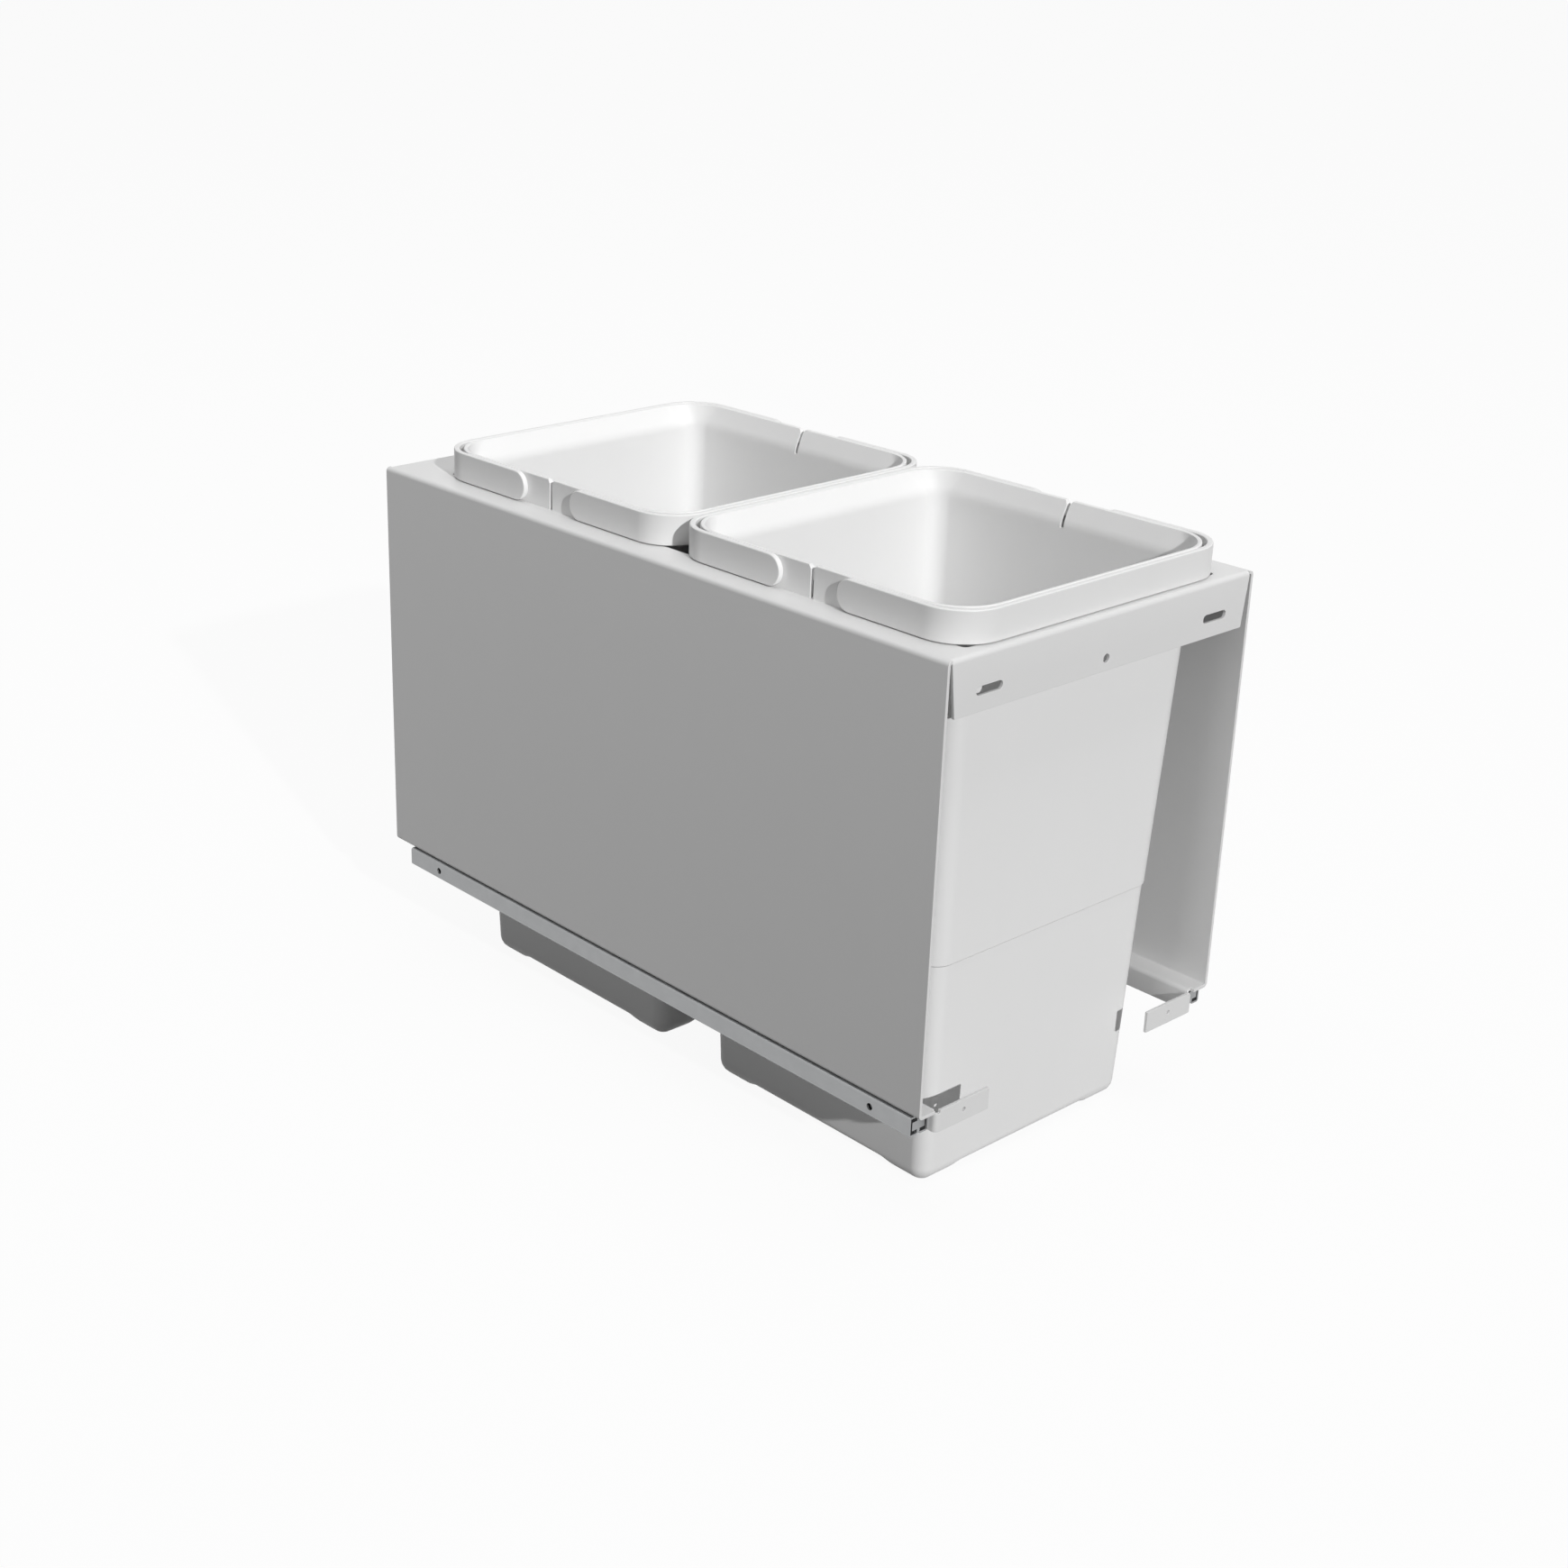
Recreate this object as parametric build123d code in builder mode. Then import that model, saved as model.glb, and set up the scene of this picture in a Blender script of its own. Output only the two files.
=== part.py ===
"""Pull-out waste unit for a 300 mm wide base cabinet.

A folded sheet steel frame carries two lift-out bins with folding hoop handles,
and slides on a pair of full extension roller runners under its side panels.

Millimetres. X runs across the unit, -Y points out of the cabinet, +Z points up.
The origin is the middle of the two door slots, on the front face of the front flange.
"""
import os
from math import sqrt

from build123d import *

os.makedirs("parts", exist_ok=True)

# ---------------------------------------------------------------- driving sizes
# Frame: one folded sheet.
frame_width = 260.0
frame_depth = 505.0
sheet = 2.0
bend_radius = 3.0             # outside radius of the panel bends
slot_drop = 21.7              # door slots below the top plate
panel_drop = 270.3            # underside of the bottom flange below the top plate
lip_height = 12.9             # from there down to the lower edge of the hanging lip
rebate_width = 14.0           # clear width beside the lip, where the runner lies
flange_drop = 33.5            # height of the front and rear flanges
flange_corner_gap = 3.5       # the end flanges start this far inside the frame's corners
flange_taper = 3.8            # and lose this on each side down to their lower edge
cutout_side_rest = 3.8        # how far the bins' skirts rest on the plate beside the cut-out
cutout_end_rest = 0.7         # and at its front and rear
cutout_radius = 3.5
slot_spacing = 192.6
slot_length = 20.8
slot_width = 5.1
centre_hole_diameter = 5.2
centre_hole_drop = 26.1
tab_inner_half = 71.7         # inner end of a front tab from the middle
tab_height = 13.8
tab_hole_diameter = 2.5
tab_hole_half = 92.4
tab_hole_rise = 7.4           # above the lower edge of the tab
lip_rear_rest = 2.0           # the lip ends this far before the rear edge

# Bins.
plate_side_rest = 19.7        # plate left beside the bins' skirts
plate_rear_rest = 36.6        # plate left behind the rear bin's hoop
rim_height = 19.5
skirt_wall = 2.0
skirt_radius = 30.0
skirt_side_overhang = 6.3     # from the wall at the height of the plate out to the skirt
skirt_end_overhang = 8.5
rim_land = 2.5
wall_radius = 12.5            # vertical corners above the step
width_taper = 0.076           # loss of width per millimetre of depth
depth_taper = 0.070
bin_wall = 2.0
bin_drop = 343.5              # underside of the feet below the top plate
step_drop = 197.4             # where the lower wall steps inwards
step_inset = 1.03
base_radius = 9.5             # vertical corners below the step, and the edge of the base
foot_height = 1.7
foot_length = 27.0
foot_blend = 9.0
floor_thickness = 2.2
flare_height = 16.5           # the mouth flares over this height below the rim
channel_depth = 10.0          # hollow under the rim, between wall and skirt
slit_width = 2.6
notch_width = 6.0
notch_depth = 2.5

# Hoop handles, two on each bin.
hoop_thickness = 3.7
hoop_side_gap = 0.2           # between the skirt and a hoop's arms
hoop_end_gap = 0.3            # and its grip
hoop_corner_ease = 2.0        # a hoop's corners are this much tighter than the skirt's
hoop_lift = 0.6               # gap between the hoop and the plate
hoop_setback = 5.0            # first grip behind the front of the frame
hoop_spacing = 1.4            # between the grips of the two bins
pivot_reach = 31.85           # from the bin's middle to the pivot
stud_radius = 4.0
stud_length = 2.4
pivot_clearance = 0.05
socket_gap = 0.3              # air at the end of a stud

# Runners, one in the rebate under each side panel.
runner_front = 6.0
runner_rear_rest = 19.0       # the runners end this far before the frame's rear
runner_height = 12.6
runner_overhang = 1.0         # the fixed member stands this far outside the panel
runner_gap = 0.3              # air between the runner and the bottom flange
channel_wall = 1.2
channel_corner = 1.6          # outside radius of the folded channels
beam_width = 2.2              # middle member, between the channels
roller_radius = 1.15
roller_length = 2.8
roller_clearance = 0.05
roller_tip_gap = 0.3          # from a roller's end to the open side of the channel
head_clearance = 1.2          # web to the end of the middle member's head
beam_clearance = 0.4
beam_half_height = 5.4
cage_strip = 0.8
cage_web = 0.6
cage_web_gap = 0.3
cage_end_gap = 0.6
window_clearance = 0.1        # between a roller and its window in the cage
cage_length = 230.0
rollers_per_row = 4
roller_end_rest = 16.0        # from the cage's end to its first roller
roller_sides = 12
bumper_length = 8.0
screw_hole_diameter = 4.4
screw_hole_front = 37.0       # from the front plane of the unit
screw_hole_spacing = 416.0

# ---------------------------------------------------------------- derived levels
plate_top = slot_drop
half_width = frame_width / 2
lip_face = half_width - rebate_width
flange_under = plate_top - panel_drop
lip_bottom = flange_under - lip_height
flange_top_width = frame_width - 2 * flange_corner_gap
flange_bottom_width = flange_top_width - 2 * flange_taper
skirt_width = frame_width - 2 * plate_side_rest
bin_space = (frame_depth - hoop_setback - hoop_spacing - plate_rear_rest) / 2
skirt_depth = bin_space - 2 * (hoop_end_gap + hoop_thickness)
body_width = skirt_width - 2 * skirt_side_overhang
body_depth = skirt_depth - 2 * skirt_end_overhang
hoop_width = skirt_width + 2 * (hoop_side_gap + hoop_thickness)
hoop_reach = skirt_depth / 2 + hoop_end_gap + hoop_thickness
hoop_height = rim_height - hoop_lift
hoop_radius = skirt_radius - hoop_corner_ease
bin_front_centre = hoop_setback + hoop_reach
bin_pitch = 2 * hoop_reach + hoop_spacing
cutout_width = skirt_width - 2 * cutout_side_rest
cutout_front = bin_front_centre - skirt_depth / 2 + cutout_end_rest
cutout_rear = bin_front_centre + bin_pitch + skirt_depth / 2 - cutout_end_rest

# ---------------------------------------------------------------- frame
# The section runs from one lip over the whole unit to the other lip. The path is the
# outer surface, and the sheet lies on its left.
fold_path = [
    (lip_face, lip_bottom),
    (lip_face, flange_under),
    (half_width, flange_under),
    (half_width, plate_top),
    (-half_width, plate_top),
    (-half_width, flange_under),
    (-lip_face, flange_under),
    (-lip_face, lip_bottom),
]
tight_bend = bend_radius - sheet
fold_radii = [tight_bend, bend_radius, bend_radius, bend_radius, bend_radius, tight_bend]
flange_path = [
    (bend_radius + sheet, plate_top),
    (0, plate_top),
    (0, plate_top - flange_drop),
]

with BuildPart() as frame:
    with BuildSketch(Plane.XZ.offset(-frame_depth)):
        with BuildLine():
            FilletPolyline(*fold_path, radius=fold_radii)
            offset(amount=sheet, side=Side.LEFT)
        make_face()
    extrude(amount=frame_depth)

    # The plate stops where the front and rear flanges bend down.
    with BuildSketch(Plane.XY.offset(plate_top)):
        with Locations((0, 0), (0, frame_depth)):
            Rectangle(flange_top_width, 2 * bend_radius)
    extrude(amount=-bend_radius, mode=Mode.SUBTRACT)

    # Both end flanges, with a bend of the same radius.
    with BuildSketch(Plane.YZ.offset(-flange_top_width / 2)):
        with BuildLine():
            FilletPolyline(*flange_path, radius=bend_radius)
            offset(amount=sheet, side=Side.LEFT)
        make_face()
    extrude(amount=flange_top_width)
    with BuildSketch(Plane.YZ.offset(-flange_top_width / 2)):
        with BuildLine():
            FilletPolyline(*[(frame_depth - y, z) for y, z in flange_path], radius=bend_radius)
            offset(amount=sheet, side=Side.RIGHT)
        make_face()
    extrude(amount=flange_top_width)

    # The flanges taper, which opens a gap to the side panels.
    for side in (-1, 1):
        with BuildSketch(Plane.XZ.offset(-frame_depth)):
            with BuildLine():
                Polyline(
                    (side * flange_top_width / 2, plate_top - bend_radius),
                    (side * flange_bottom_width / 2, plate_top - flange_drop),
                    (side * flange_top_width / 2, plate_top - flange_drop),
                    close=True,
                )
            make_face()
        extrude(amount=frame_depth, mode=Mode.SUBTRACT)

    # Opening for the bins.
    with BuildSketch(Plane.XY.offset(plate_top)):
        with Locations((0, (cutout_front + cutout_rear) / 2)):
            RectangleRounded(cutout_width, cutout_rear - cutout_front, cutout_radius)
    extrude(amount=-sheet, mode=Mode.SUBTRACT)

    # Door slots and the hole between them, in the front flange only.
    with BuildSketch(Plane.XZ):
        with GridLocations(slot_spacing, 0, 2, 1):
            SlotOverall(slot_length, slot_width)
        with Locations((0, plate_top - centre_hole_drop)):
            Circle(centre_hole_diameter / 2)
    extrude(amount=-sheet, mode=Mode.SUBTRACT)

    # The lips give way at the front, where the tabs are bent inwards, and end before the rear.
    for side in (-1, 1):
        with BuildSketch(Plane.XY.offset(lip_bottom)):
            with Locations((side * lip_face, 0)):
                Rectangle(2 * bend_radius, 2 * bend_radius)
            with Locations((side * lip_face, frame_depth)):
                Rectangle(2 * bend_radius, 2 * lip_rear_rest)
        extrude(amount=lip_height + sheet, mode=Mode.SUBTRACT)

        tab_path = [
            (side * lip_face, bend_radius + sheet),
            (side * lip_face, 0),
            (side * tab_inner_half, 0),
        ]
        with BuildSketch(Plane.XY.offset(lip_bottom)):
            with BuildLine():
                FilletPolyline(*tab_path, radius=bend_radius)
                offset(amount=sheet, side=Side.RIGHT if side > 0 else Side.LEFT)
            make_face()
        extrude(amount=tab_height)

    with BuildSketch(Plane.XZ):
        with Locations((0, lip_bottom + tab_hole_rise)):
            with GridLocations(2 * tab_hole_half, 0, 2, 1):
                Circle(tab_hole_diameter / 2)
    extrude(amount=-sheet, mode=Mode.SUBTRACT)

frame.part.label = "frame"
export_step(frame.part, "parts/frame.step")


# ---------------------------------------------------------------- bins
def wall_size(drop, inset):
    """Width and depth of the tapered wall at a drop below the plate, taken in by inset."""
    width = body_width - width_taper * drop - 2 * inset
    depth = body_depth - depth_taper * drop - 2 * inset
    return width, depth


def mouth_flare(height):
    """Share of the flare reached at a height over its lower end: an arc that starts upright."""
    reach = (skirt_width - 2 * rim_land - body_width) / 2 + bin_wall
    arc = (reach ** 2 + flare_height ** 2) / (2 * reach)
    return (arc - sqrt(arc ** 2 - height ** 2)) / reach


def drafted_block(centre, upper, lower, inset, radius, has_base):
    """A tapering block between two drops below the plate, with rounded corners and base edge."""
    upper_width, upper_depth = wall_size(upper, inset)
    lower_width, lower_depth = wall_size(lower, inset)
    front_view = (Plane.XZ.offset(-centre - skirt_depth / 2), 0, upper_width, lower_width, skirt_depth)
    side_view = (Plane.YZ.offset(-skirt_width / 2), centre, upper_depth, lower_depth, skirt_width)
    with BuildPart() as block:
        for plane, middle, upper_size, lower_size, reach in (front_view, side_view):
            with BuildSketch(plane):
                with BuildLine():
                    Polyline(
                        (middle - upper_size / 2, plate_top - upper),
                        (middle - lower_size / 2, plate_top - lower),
                        (middle + lower_size / 2, plate_top - lower),
                        (middle + upper_size / 2, plate_top - upper),
                        close=True,
                    )
                make_face()
            extrude(amount=reach, mode=Mode.INTERSECT if block.faces() else Mode.ADD)
        rounded = [edge for edge in block.edges() if abs(edge.tangent_at(0.5).Z) > 0.5]
        if has_base:
            rounded += block.faces().sort_by(Axis.Z)[0].edges()
        fillet(rounded, radius)
    return block.part


def make_bin(centre, label):
    """A bin whose skirt rests on the plate, centred at a distance behind the front plane."""

    def level(drop):
        return Plane(origin=(0, centre, plate_top - drop))

    floor_drop = bin_drop - foot_height - floor_thickness
    inner_step = step_drop - bin_wall
    flare_start = flare_height - rim_height
    lower_inset = bin_wall + step_inset
    outer_wall = drafted_block(centre, 0, step_drop, 0, wall_radius, False)
    outer_base = drafted_block(centre, step_drop, bin_drop, step_inset, base_radius, True)
    inner_wall = drafted_block(
        centre, flare_start, inner_step, bin_wall, wall_radius - bin_wall, False
    )
    inner_base = drafted_block(
        centre, inner_step, floor_drop, lower_inset, base_radius - bin_wall, True
    )

    with BuildPart() as moulding:
        add(outer_wall)
        add(outer_base)

        # Rim block.
        with BuildSketch(level(0)):
            RectangleRounded(skirt_width, skirt_depth, skirt_radius)
        extrude(amount=rim_height)

        # Hollow under the rim, which leaves the skirt free.
        with BuildSketch(level(0)):
            RectangleRounded(
                skirt_width - 2 * skirt_wall,
                skirt_depth - 2 * skirt_wall,
                skirt_radius - skirt_wall,
            )
            RectangleRounded(
                body_width + bin_wall,
                body_depth + bin_wall,
                wall_radius + bin_wall,
                mode=Mode.SUBTRACT,
            )
        extrude(amount=channel_depth, mode=Mode.SUBTRACT)

        # Inside: flared mouth, upper wall, lower wall.
        mouth_width = skirt_width - 2 * rim_land
        mouth_depth = skirt_depth - 2 * rim_land
        neck_width, neck_depth = wall_size(0, bin_wall)
        neck_radius = wall_radius - bin_wall
        for height in (0, flare_height * 0.55, flare_height):
            share = mouth_flare(height)
            with BuildSketch(level(flare_start - height)):
                RectangleRounded(
                    neck_width + share * (mouth_width - neck_width),
                    neck_depth + share * (mouth_depth - neck_depth),
                    neck_radius + share * (skirt_radius - rim_land - neck_radius),
                )
        loft(ruled=True, mode=Mode.SUBTRACT)
        add(inner_wall, mode=Mode.SUBTRACT)
        add(inner_base, mode=Mode.SUBTRACT)

        # Four feet stay proud of the base, each running out in a soft step.
        foot_span_x = wall_size(bin_drop, step_inset)[0] / 2 - foot_length
        foot_span_y = wall_size(bin_drop, step_inset)[1] / 2 - foot_length
        across = Plane.XZ.offset(-centre - body_depth / 2)
        along = Plane.YZ.offset(-body_width / 2)
        foot_level = plate_top - bin_drop
        arch_level = foot_level + foot_height
        half_rise = foot_level + foot_height / 2
        for plane, middle, span in ((across, 0, foot_span_x), (along, centre, foot_span_y)):
            outer = middle - span
            inner = outer + foot_blend
            far_inner = middle + span - foot_blend
            far_outer = middle + span
            with BuildSketch(plane):
                with BuildLine():
                    TangentArc((outer, foot_level), (outer + foot_blend / 2, half_rise), tangent=(1, 0))
                    TangentArc(
                        (inner, arch_level),
                        (outer + foot_blend / 2, half_rise),
                        tangent=(-1, 0),
                    )
                    Line((inner, arch_level), (far_inner, arch_level))
                    TangentArc(
                        (far_inner, arch_level),
                        (far_outer - foot_blend / 2, half_rise),
                        tangent=(1, 0),
                    )
                    TangentArc(
                        (far_outer, foot_level),
                        (far_outer - foot_blend / 2, half_rise),
                        tangent=(-1, 0),
                    )
                    Line((far_outer, foot_level), (outer, foot_level))
                make_face()
            extrude(amount=body_width, mode=Mode.SUBTRACT)

        # The long sides are split at their middle, with a notch in the rim.
        rim_level = plate_top + rim_height
        with BuildSketch(Plane.YZ.offset(-skirt_width / 2)):
            with BuildLine():
                Polyline(
                    (centre - notch_width / 2, rim_level),
                    (centre - slit_width / 2, rim_level - notch_depth),
                    (centre - slit_width / 2, plate_top - flare_start),
                    (centre + slit_width / 2, plate_top - flare_start),
                    (centre + slit_width / 2, rim_level - notch_depth),
                    (centre + notch_width / 2, rim_level),
                    close=True,
                )
            make_face()
        extrude(amount=skirt_width, mode=Mode.SUBTRACT)
        with BuildSketch(level(0)):
            with GridLocations(skirt_width - skirt_wall, 0, 2, 1):
                Rectangle(skirt_wall, slit_width)
        extrude(amount=rim_height, mode=Mode.SUBTRACT)

        # Pivot studs for the hoops.
        pivot_level = plate_top + hoop_lift + hoop_height / 2
        for side in (-1, 1):
            with BuildSketch(Plane.YZ.offset(side * (skirt_width - skirt_wall) / 2)):
                with Locations((centre, pivot_level)):
                    with GridLocations(2 * pivot_reach, 0, 2, 1):
                        Circle(stud_radius)
            extrude(amount=side * (skirt_wall / 2 + stud_length))

    moulding.part.label = label
    export_step(moulding.part, f"parts/{label}.step")


# ---------------------------------------------------------------- hoop handles
def make_hoop(centre, facing, label):
    """A hoop round one end of a bin. facing is -1 for the front end and 1 for the rear end."""
    pivot = centre + facing * pivot_reach
    grip = centre + facing * hoop_reach
    pivot_level = plate_top + hoop_lift + hoop_height / 2
    arm_face = hoop_width / 2
    hoop_path = [
        (-arm_face, centre),
        (-arm_face, grip),
        (arm_face, grip),
        (arm_face, centre),
    ]

    with BuildPart() as hoop:
        with BuildSketch(Plane.XY.offset(plate_top + hoop_lift)):
            with BuildLine():
                FilletPolyline(*hoop_path, radius=hoop_radius)
                offset(amount=hoop_thickness, side=Side.LEFT if facing < 0 else Side.RIGHT)
            make_face()
        extrude(amount=hoop_height)

        # Seen from the side, each arm ends in a half round about its pivot.
        with BuildSketch(Plane.YZ.offset(-arm_face)):
            with Locations(((pivot + grip) / 2, pivot_level)):
                Rectangle(hoop_reach - pivot_reach, hoop_height)
            with Locations((pivot, pivot_level)):
                Circle(hoop_height / 2)
        extrude(amount=hoop_width, mode=Mode.INTERSECT)

        # Blind sockets that turn on the bin's studs.
        socket_depth = stud_length - (arm_face - hoop_thickness - skirt_width / 2) + socket_gap
        for side in (-1, 1):
            with BuildSketch(Plane.YZ.offset(side * (arm_face - hoop_thickness))):
                with Locations((pivot, pivot_level)):
                    Circle(stud_radius + pivot_clearance)
            extrude(amount=side * socket_depth, mode=Mode.SUBTRACT)

    hoop.part.label = label
    export_step(hoop.part, f"parts/{label}.step")


for row, name in enumerate(("bin_front", "bin_rear")):
    bin_centre = bin_front_centre + row * bin_pitch
    make_bin(bin_centre, name)
    make_hoop(bin_centre, -1, f"{name}_handle_front")
    make_hoop(bin_centre, 1, f"{name}_handle_rear")


# ---------------------------------------------------------------- runners
runner_level = flange_under - runner_gap - runner_height / 2
runner_rear = frame_depth - runner_rear_rest
runner_length = runner_rear - runner_front
drawer_face = lip_face
cabinet_face = half_width + runner_overhang
channel_reach = (cabinet_face - drawer_face - beam_width) / 2 - beam_clearance
roller_offset = channel_reach - roller_tip_gap - roller_length / 2
cage_front = runner_front + (runner_length - cage_length) / 2
channel_inner = runner_height / 2 - channel_wall
roller_level = channel_inner - roller_clearance - roller_radius
head_half_height = roller_level - roller_radius - roller_clearance
rail_section = Plane.XZ.offset(-runner_rear)


def channel_rail(web_face, opening, label, screw_holes):
    """A channel with its web at web_face. opening is the direction along X of its open side."""
    with BuildPart() as rail:
        with BuildSketch(rail_section) as channel:
            with Locations((web_face + opening * channel_reach / 2, runner_level)):
                Rectangle(channel_reach, runner_height)
            web_corners = channel.vertices().group_by(Axis.X)[0 if opening > 0 else -1]
            fillet(web_corners, channel_corner)
            with Locations((web_face + opening * (channel_wall + channel_reach) / 2, runner_level)):
                Rectangle(channel_reach - channel_wall, 2 * channel_inner, mode=Mode.SUBTRACT)
        extrude(amount=runner_length)
        if screw_holes:
            with BuildSketch(Plane.YZ.offset(web_face)):
                for hole in (screw_hole_front, screw_hole_front + screw_hole_spacing):
                    with Locations((hole, runner_level)):
                        Circle(screw_hole_diameter / 2)
            extrude(amount=opening * channel_wall, mode=Mode.SUBTRACT)
    rail.part.label = label
    export_step(rail.part, f"parts/{label}.step")


def middle_rail(side, label):
    """The middle member: a beam between the channels, with a head in each of them."""
    head_start = drawer_face + channel_wall + head_clearance
    head_end = cabinet_face - channel_wall - head_clearance
    beam_start = drawer_face + channel_reach + beam_clearance
    beam_end = cabinet_face - channel_reach - beam_clearance
    with BuildPart() as rail:
        with BuildSketch(rail_section.offset(bumper_length)):
            with Locations((side * (head_start + head_end) / 2, runner_level)):
                Rectangle(head_end - head_start, 2 * head_half_height)
                Rectangle(beam_end - beam_start, 2 * beam_half_height)
        extrude(amount=runner_length - bumper_length)
    rail.part.label = label
    export_step(rail.part, f"parts/{label}.step")


def roller_places():
    """Distances of the rollers behind the front plane."""
    pitch = (cage_length - 2 * roller_end_rest) / (rollers_per_row - 1)
    return [cage_front + roller_end_rest + number * pitch for number in range(rollers_per_row)]


def roller_cage(web_face, opening, label):
    """A thin strip bent round the head, with a window for each roller."""
    start = channel_wall + cage_web_gap
    end = channel_reach + beam_clearance - cage_end_gap
    strip_top = roller_level + cage_strip / 2
    strip_bottom = roller_level - cage_strip / 2
    window_length = 2 * (roller_radius + window_clearance)
    window_width = roller_length + 2 * window_clearance
    with BuildPart() as cage:
        with BuildSketch(Plane.XZ.offset(-cage_front - cage_length)):
            with Locations((web_face + opening * (start + end) / 2, runner_level)):
                Rectangle(end - start, 2 * strip_top)
            with Locations((web_face + opening * (start + cage_web + end) / 2, runner_level)):
                Rectangle(end - start - cage_web, 2 * strip_bottom, mode=Mode.SUBTRACT)
        extrude(amount=cage_length)
        with BuildSketch(Plane.XY.offset(runner_level - runner_height / 2)):
            for place in roller_places():
                with Locations((web_face + opening * roller_offset, place)):
                    Rectangle(window_width, window_length)
        extrude(amount=runner_height, mode=Mode.SUBTRACT)
    cage.part.label = label
    export_step(cage.part, f"parts/{label}.step")


def roller_rows(web_face, opening, label):
    """Two rows of rollers, above and below the head, each a many-sided pin across the rail."""
    with BuildPart() as rollers:
        with BuildSketch(Plane.YZ.offset(web_face + opening * (roller_offset - roller_length / 2))):
            for place in roller_places():
                with Locations((place, runner_level)):
                    with GridLocations(0, 2 * roller_level, 1, 2):
                        RegularPolygon(roller_radius, roller_sides)
        extrude(amount=opening * roller_length)
    rollers.part.label = label
    export_step(rollers.part, f"parts/{label}.step")


def stop_bumper(side, label):
    """A soft block in the rear end of the fixed channel, where the middle member stops."""
    bumper_start = cabinet_face - channel_reach + beam_clearance
    bumper_end = cabinet_face - channel_wall
    with BuildPart() as bumper:
        with BuildSketch(rail_section):
            with Locations((side * (bumper_start + bumper_end) / 2, runner_level)):
                Rectangle(bumper_end - bumper_start, 2 * channel_inner)
        extrude(amount=bumper_length)
    bumper.part.label = label
    export_step(bumper.part, f"parts/{label}.step")


for side_name, side in (("left", -1), ("right", 1)):
    cabinet_web = side * cabinet_face
    drawer_web = side * drawer_face
    channel_rail(cabinet_web, -side, f"{side_name}_cabinet_rail", True)
    channel_rail(drawer_web, side, f"{side_name}_drawer_rail", False)
    middle_rail(side, f"{side_name}_intermediate_rail")
    roller_cage(cabinet_web, -side, f"{side_name}_outer_roller_cage")
    roller_rows(cabinet_web, -side, f"{side_name}_outer_rollers")
    roller_cage(drawer_web, side, f"{side_name}_inner_roller_cage")
    roller_rows(drawer_web, side, f"{side_name}_inner_rollers")
    stop_bumper(side, f"{side_name}_stop_bumper")
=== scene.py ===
"""A pull-out waste unit: folded steel frame, two lift-out bins and four hoop handles.

Metres. X runs across the unit, -Y points out of the cabinet, +Z points up. The origin is the
middle of the two door slots, on the front face of the frame's front flange.
"""

from math import cos, pi, radians, sin

import bmesh
import bpy
from mathutils import Matrix, Vector


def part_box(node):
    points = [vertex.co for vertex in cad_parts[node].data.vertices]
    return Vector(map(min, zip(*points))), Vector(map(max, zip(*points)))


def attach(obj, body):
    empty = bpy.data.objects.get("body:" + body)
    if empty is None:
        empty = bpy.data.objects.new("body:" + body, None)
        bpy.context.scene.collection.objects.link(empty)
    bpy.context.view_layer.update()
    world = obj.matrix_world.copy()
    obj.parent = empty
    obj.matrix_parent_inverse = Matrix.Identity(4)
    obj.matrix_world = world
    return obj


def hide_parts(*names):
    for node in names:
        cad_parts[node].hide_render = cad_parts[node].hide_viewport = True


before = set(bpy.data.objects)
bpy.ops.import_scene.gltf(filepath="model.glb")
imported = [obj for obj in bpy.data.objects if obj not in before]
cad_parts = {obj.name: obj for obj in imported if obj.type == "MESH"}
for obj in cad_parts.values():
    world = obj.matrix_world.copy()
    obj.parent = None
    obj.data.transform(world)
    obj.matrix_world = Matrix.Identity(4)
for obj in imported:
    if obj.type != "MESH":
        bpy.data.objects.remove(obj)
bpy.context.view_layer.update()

# ---------------------------------------------------------------- frame
# One sheet of 2 mm steel, laser cut, folded on a press brake and powder coated white. The top
# plate carries the bins, the side panels hang from it, and the door is screwed to the front.
frame_low, frame_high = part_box("frame")
plate_top = frame_high[2]
half_width = frame_high[0]
frame_depth = frame_high[1]
lip_bottom = frame_low[2]
sheet = 0.0020
bend = 0.0030                 # outside radius of a bend
tight_bend = bend - sheet
rebate_width = 0.0140
panel_drop = 0.2703
end_flange_drop = 0.0335
end_flange_top_half = 0.1265
end_flange_bottom_half = 0.1227
cutout_half = 0.1065
cutout_front = 0.0097
cutout_rear = 0.4637
cutout_corner = 0.0035
slot_spacing = 0.1926
slot_length = 0.0208
slot_width = 0.0051
centre_hole_radius = 0.0026
centre_hole_drop = 0.0261
tab_inner_half = 0.0717
tab_height = 0.0138
tab_relief = 0.0004           # from the end of its bend to where the tab stands higher
tab_hole_half = 0.0924
tab_hole_drop = 0.2758
tab_hole_radius = 0.00125
lip_rear_rest = 0.0020
edge_rounding = 0.0003
bend_steps = 6
cutout_corner_steps = 4
hole_sides = 24
near = 1e-6                   # places closer than this are the same


def loop_vertices(loop):
    """The vertices of some edges, each once."""
    return list({vertex for edge in loop for vertex in edge.verts})


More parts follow.
